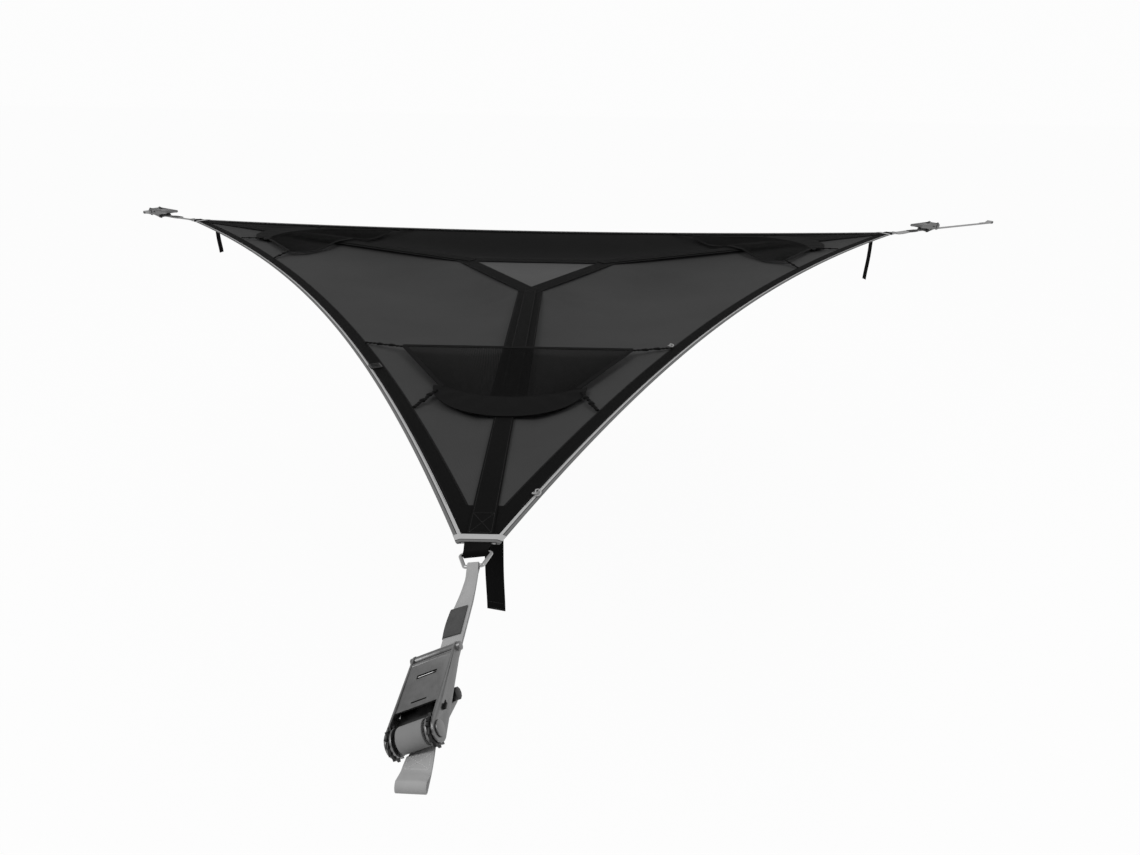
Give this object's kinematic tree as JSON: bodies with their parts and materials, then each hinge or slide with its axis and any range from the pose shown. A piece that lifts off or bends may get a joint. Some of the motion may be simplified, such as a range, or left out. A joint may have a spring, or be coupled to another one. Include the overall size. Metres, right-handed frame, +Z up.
{
  "type": "triangle hammock",
  "caption": "Three-point hammock: a flat triangular cloth with a centre hatch, storage nets and a ratchet strap at each corner.",
  "frame": {"origin": "inside of the sewn eye at the front tree strap's outer end", "axes": "+Z up; +Y from the front anchor under the sheet's front arm towards its far edge; +X to the right, from the left anchor side to the right one"},
  "size_m": [5.3302, 4.5339, 0.308],
  "materials": {
    "ripstop": "woven ripstop nylon, dark grey",
    "far_ripstop": "woven ripstop nylon, black",
    "hatch_cloth": "woven nylon, mid grey",
    "black_webbing": "woven black webbing",
    "black_hem": "folded black hem cloth",
    "net_cord": "knitted black net",
    "grey_binding": "light grey binding tape",
    "grey_webbing": "light grey polyester webbing",
    "sleeve": "grey woven sleeve",
    "zinc_steel": "zinc plated steel",
    "pressed_steel": "pressed zinc plated steel",
    "dark_steel": "dark blackened steel"
  },
  "bodies": {
    "sheet": {"arm_strap_front": "black_webbing", "arm_strap_left": "black_webbing", "arm_strap_right": "black_webbing", "bay_far": "far_ripstop", "bay_left": "ripstop", "bay_right": "ripstop", "delta_ring_front": "zinc_steel", "delta_ring_left": "zinc_steel", "delta_ring_right": "zinc_steel", "edge_binding": "grey_binding", "edge_hem": "black_hem", "frame_bolt_front": "zinc_steel", "frame_bolt_left": "zinc_steel", "frame_bolt_right": "zinc_steel", "hatch_panel": "hatch_cloth", "hub_webbing": "black_webbing", "net_front": "net_cord", "net_left": "net_cord", "net_right": "net_cord", "pawl_spring_front": "zinc_steel", "pawl_spring_left": "zinc_steel", "pawl_spring_right": "zinc_steel", "ratchet_frame_front": "pressed_steel", "ratchet_frame_left": "pressed_steel", "ratchet_frame_right": "pressed_steel", "short_strap_front": "grey_webbing", "short_strap_left": "grey_webbing", "short_strap_right": "grey_webbing", "strap_sleeve_front": "sleeve", "strap_sleeve_left": "sleeve", "strap_sleeve_right": "sleeve", "strap_tail_front": "black_webbing", "strap_tail_left": "black_webbing", "strap_tail_right": "black_webbing", "tree_strap_front": "grey_webbing", "tree_strap_left": "grey_webbing", "tree_strap_right": "grey_webbing"},
    "handle_front": {"ratchet_handle_front": "pressed_steel"},
    "catch_front": {"release_catch_front": "dark_steel"},
    "pawl_front": {"lock_pawl_front": "dark_steel"},
    "spindle_body_front": {"spindle_front": "zinc_steel", "gear_front_a": "dark_steel", "gear_front_b": "dark_steel", "wound_webbing_front": "grey_webbing"},
    "handle_left": {"ratchet_handle_left": "pressed_steel"},
    "catch_left": {"release_catch_left": "dark_steel"},
    "pawl_left": {"lock_pawl_left": "dark_steel"},
    "spindle_body_left": {"spindle_left": "zinc_steel", "gear_left_a": "dark_steel", "gear_left_b": "dark_steel", "wound_webbing_left": "grey_webbing"},
    "handle_right": {"ratchet_handle_right": "pressed_steel"},
    "catch_right": {"release_catch_right": "dark_steel"},
    "pawl_right": {"lock_pawl_right": "dark_steel"},
    "spindle_body_right": {"spindle_right": "zinc_steel", "gear_right_a": "dark_steel", "gear_right_b": "dark_steel", "wound_webbing_right": "grey_webbing"}
  },
  "joints": [
    {"name": "handle_swing_front", "type": "hinge", "parent": "sheet", "child": "handle_front", "pos_m": [-0.00652, 0.0703, 0.01809], "axis": [0.8903, -0.0342, 0.454], "range_deg": [0, 150]},
    {"name": "catch_slide_front", "type": "slide", "parent": "handle_front", "child": "catch_front", "axis": [0.0384, 0.9993, 0], "range_m": [0, 0.006], "stiffness_N_per_m": 300, "springref_m": -0.004},
    {"name": "pawl_slide_front", "type": "slide", "parent": "sheet", "child": "pawl_front", "axis": [0.1912, 0.933, -0.3047], "range_m": [0, 0.004], "stiffness_N_per_m": 300, "springref_m": -0.004},
    {"name": "spindle_turn_front", "type": "hinge", "parent": "sheet", "child": "spindle_body_front", "pos_m": [-0.00652, 0.0703, 0.01809], "axis": [0.8903, -0.0342, 0.454], "continuous": true},
    {"name": "handle_swing_left", "type": "hinge", "parent": "sheet", "child": "handle_left", "pos_m": [-2.34527, 4.22875, 0.0203], "axis": [-0.5, -0.866, 0], "range_deg": [0, 150]},
    {"name": "catch_slide_left", "type": "slide", "parent": "handle_left", "child": "catch_left", "axis": [0.866, -0.5, 0], "range_m": [0, 0.006], "stiffness_N_per_m": 300, "springref_m": -0.004},
    {"name": "pawl_slide_left", "type": "slide", "parent": "sheet", "child": "pawl_left", "axis": [0.8138, -0.4698, -0.342], "range_m": [0, 0.004], "stiffness_N_per_m": 300, "springref_m": -0.004},
    {"name": "spindle_turn_left", "type": "hinge", "parent": "sheet", "child": "spindle_body_left", "pos_m": [-2.34527, 4.22875, 0.0203], "axis": [-0.5, -0.866, 0], "continuous": true},
    {"name": "handle_swing_right", "type": "hinge", "parent": "sheet", "child": "handle_right", "pos_m": [2.3822, 4.22875, 0.0203], "axis": [-0.5, 0.866, 0], "range_deg": [0, 150]},
    {"name": "catch_slide_right", "type": "slide", "parent": "handle_right", "child": "catch_right", "axis": [-0.866, -0.5, 0], "range_m": [0, 0.006], "stiffness_N_per_m": 300, "springref_m": -0.004},
    {"name": "pawl_slide_right", "type": "slide", "parent": "sheet", "child": "pawl_right", "axis": [-0.8138, -0.4698, -0.342], "range_m": [0, 0.004], "stiffness_N_per_m": 300, "springref_m": -0.004},
    {"name": "spindle_turn_right", "type": "hinge", "parent": "sheet", "child": "spindle_body_right", "pos_m": [2.3822, 4.22875, 0.0203], "axis": [-0.5, 0.866, 0], "continuous": true}
  ]
}
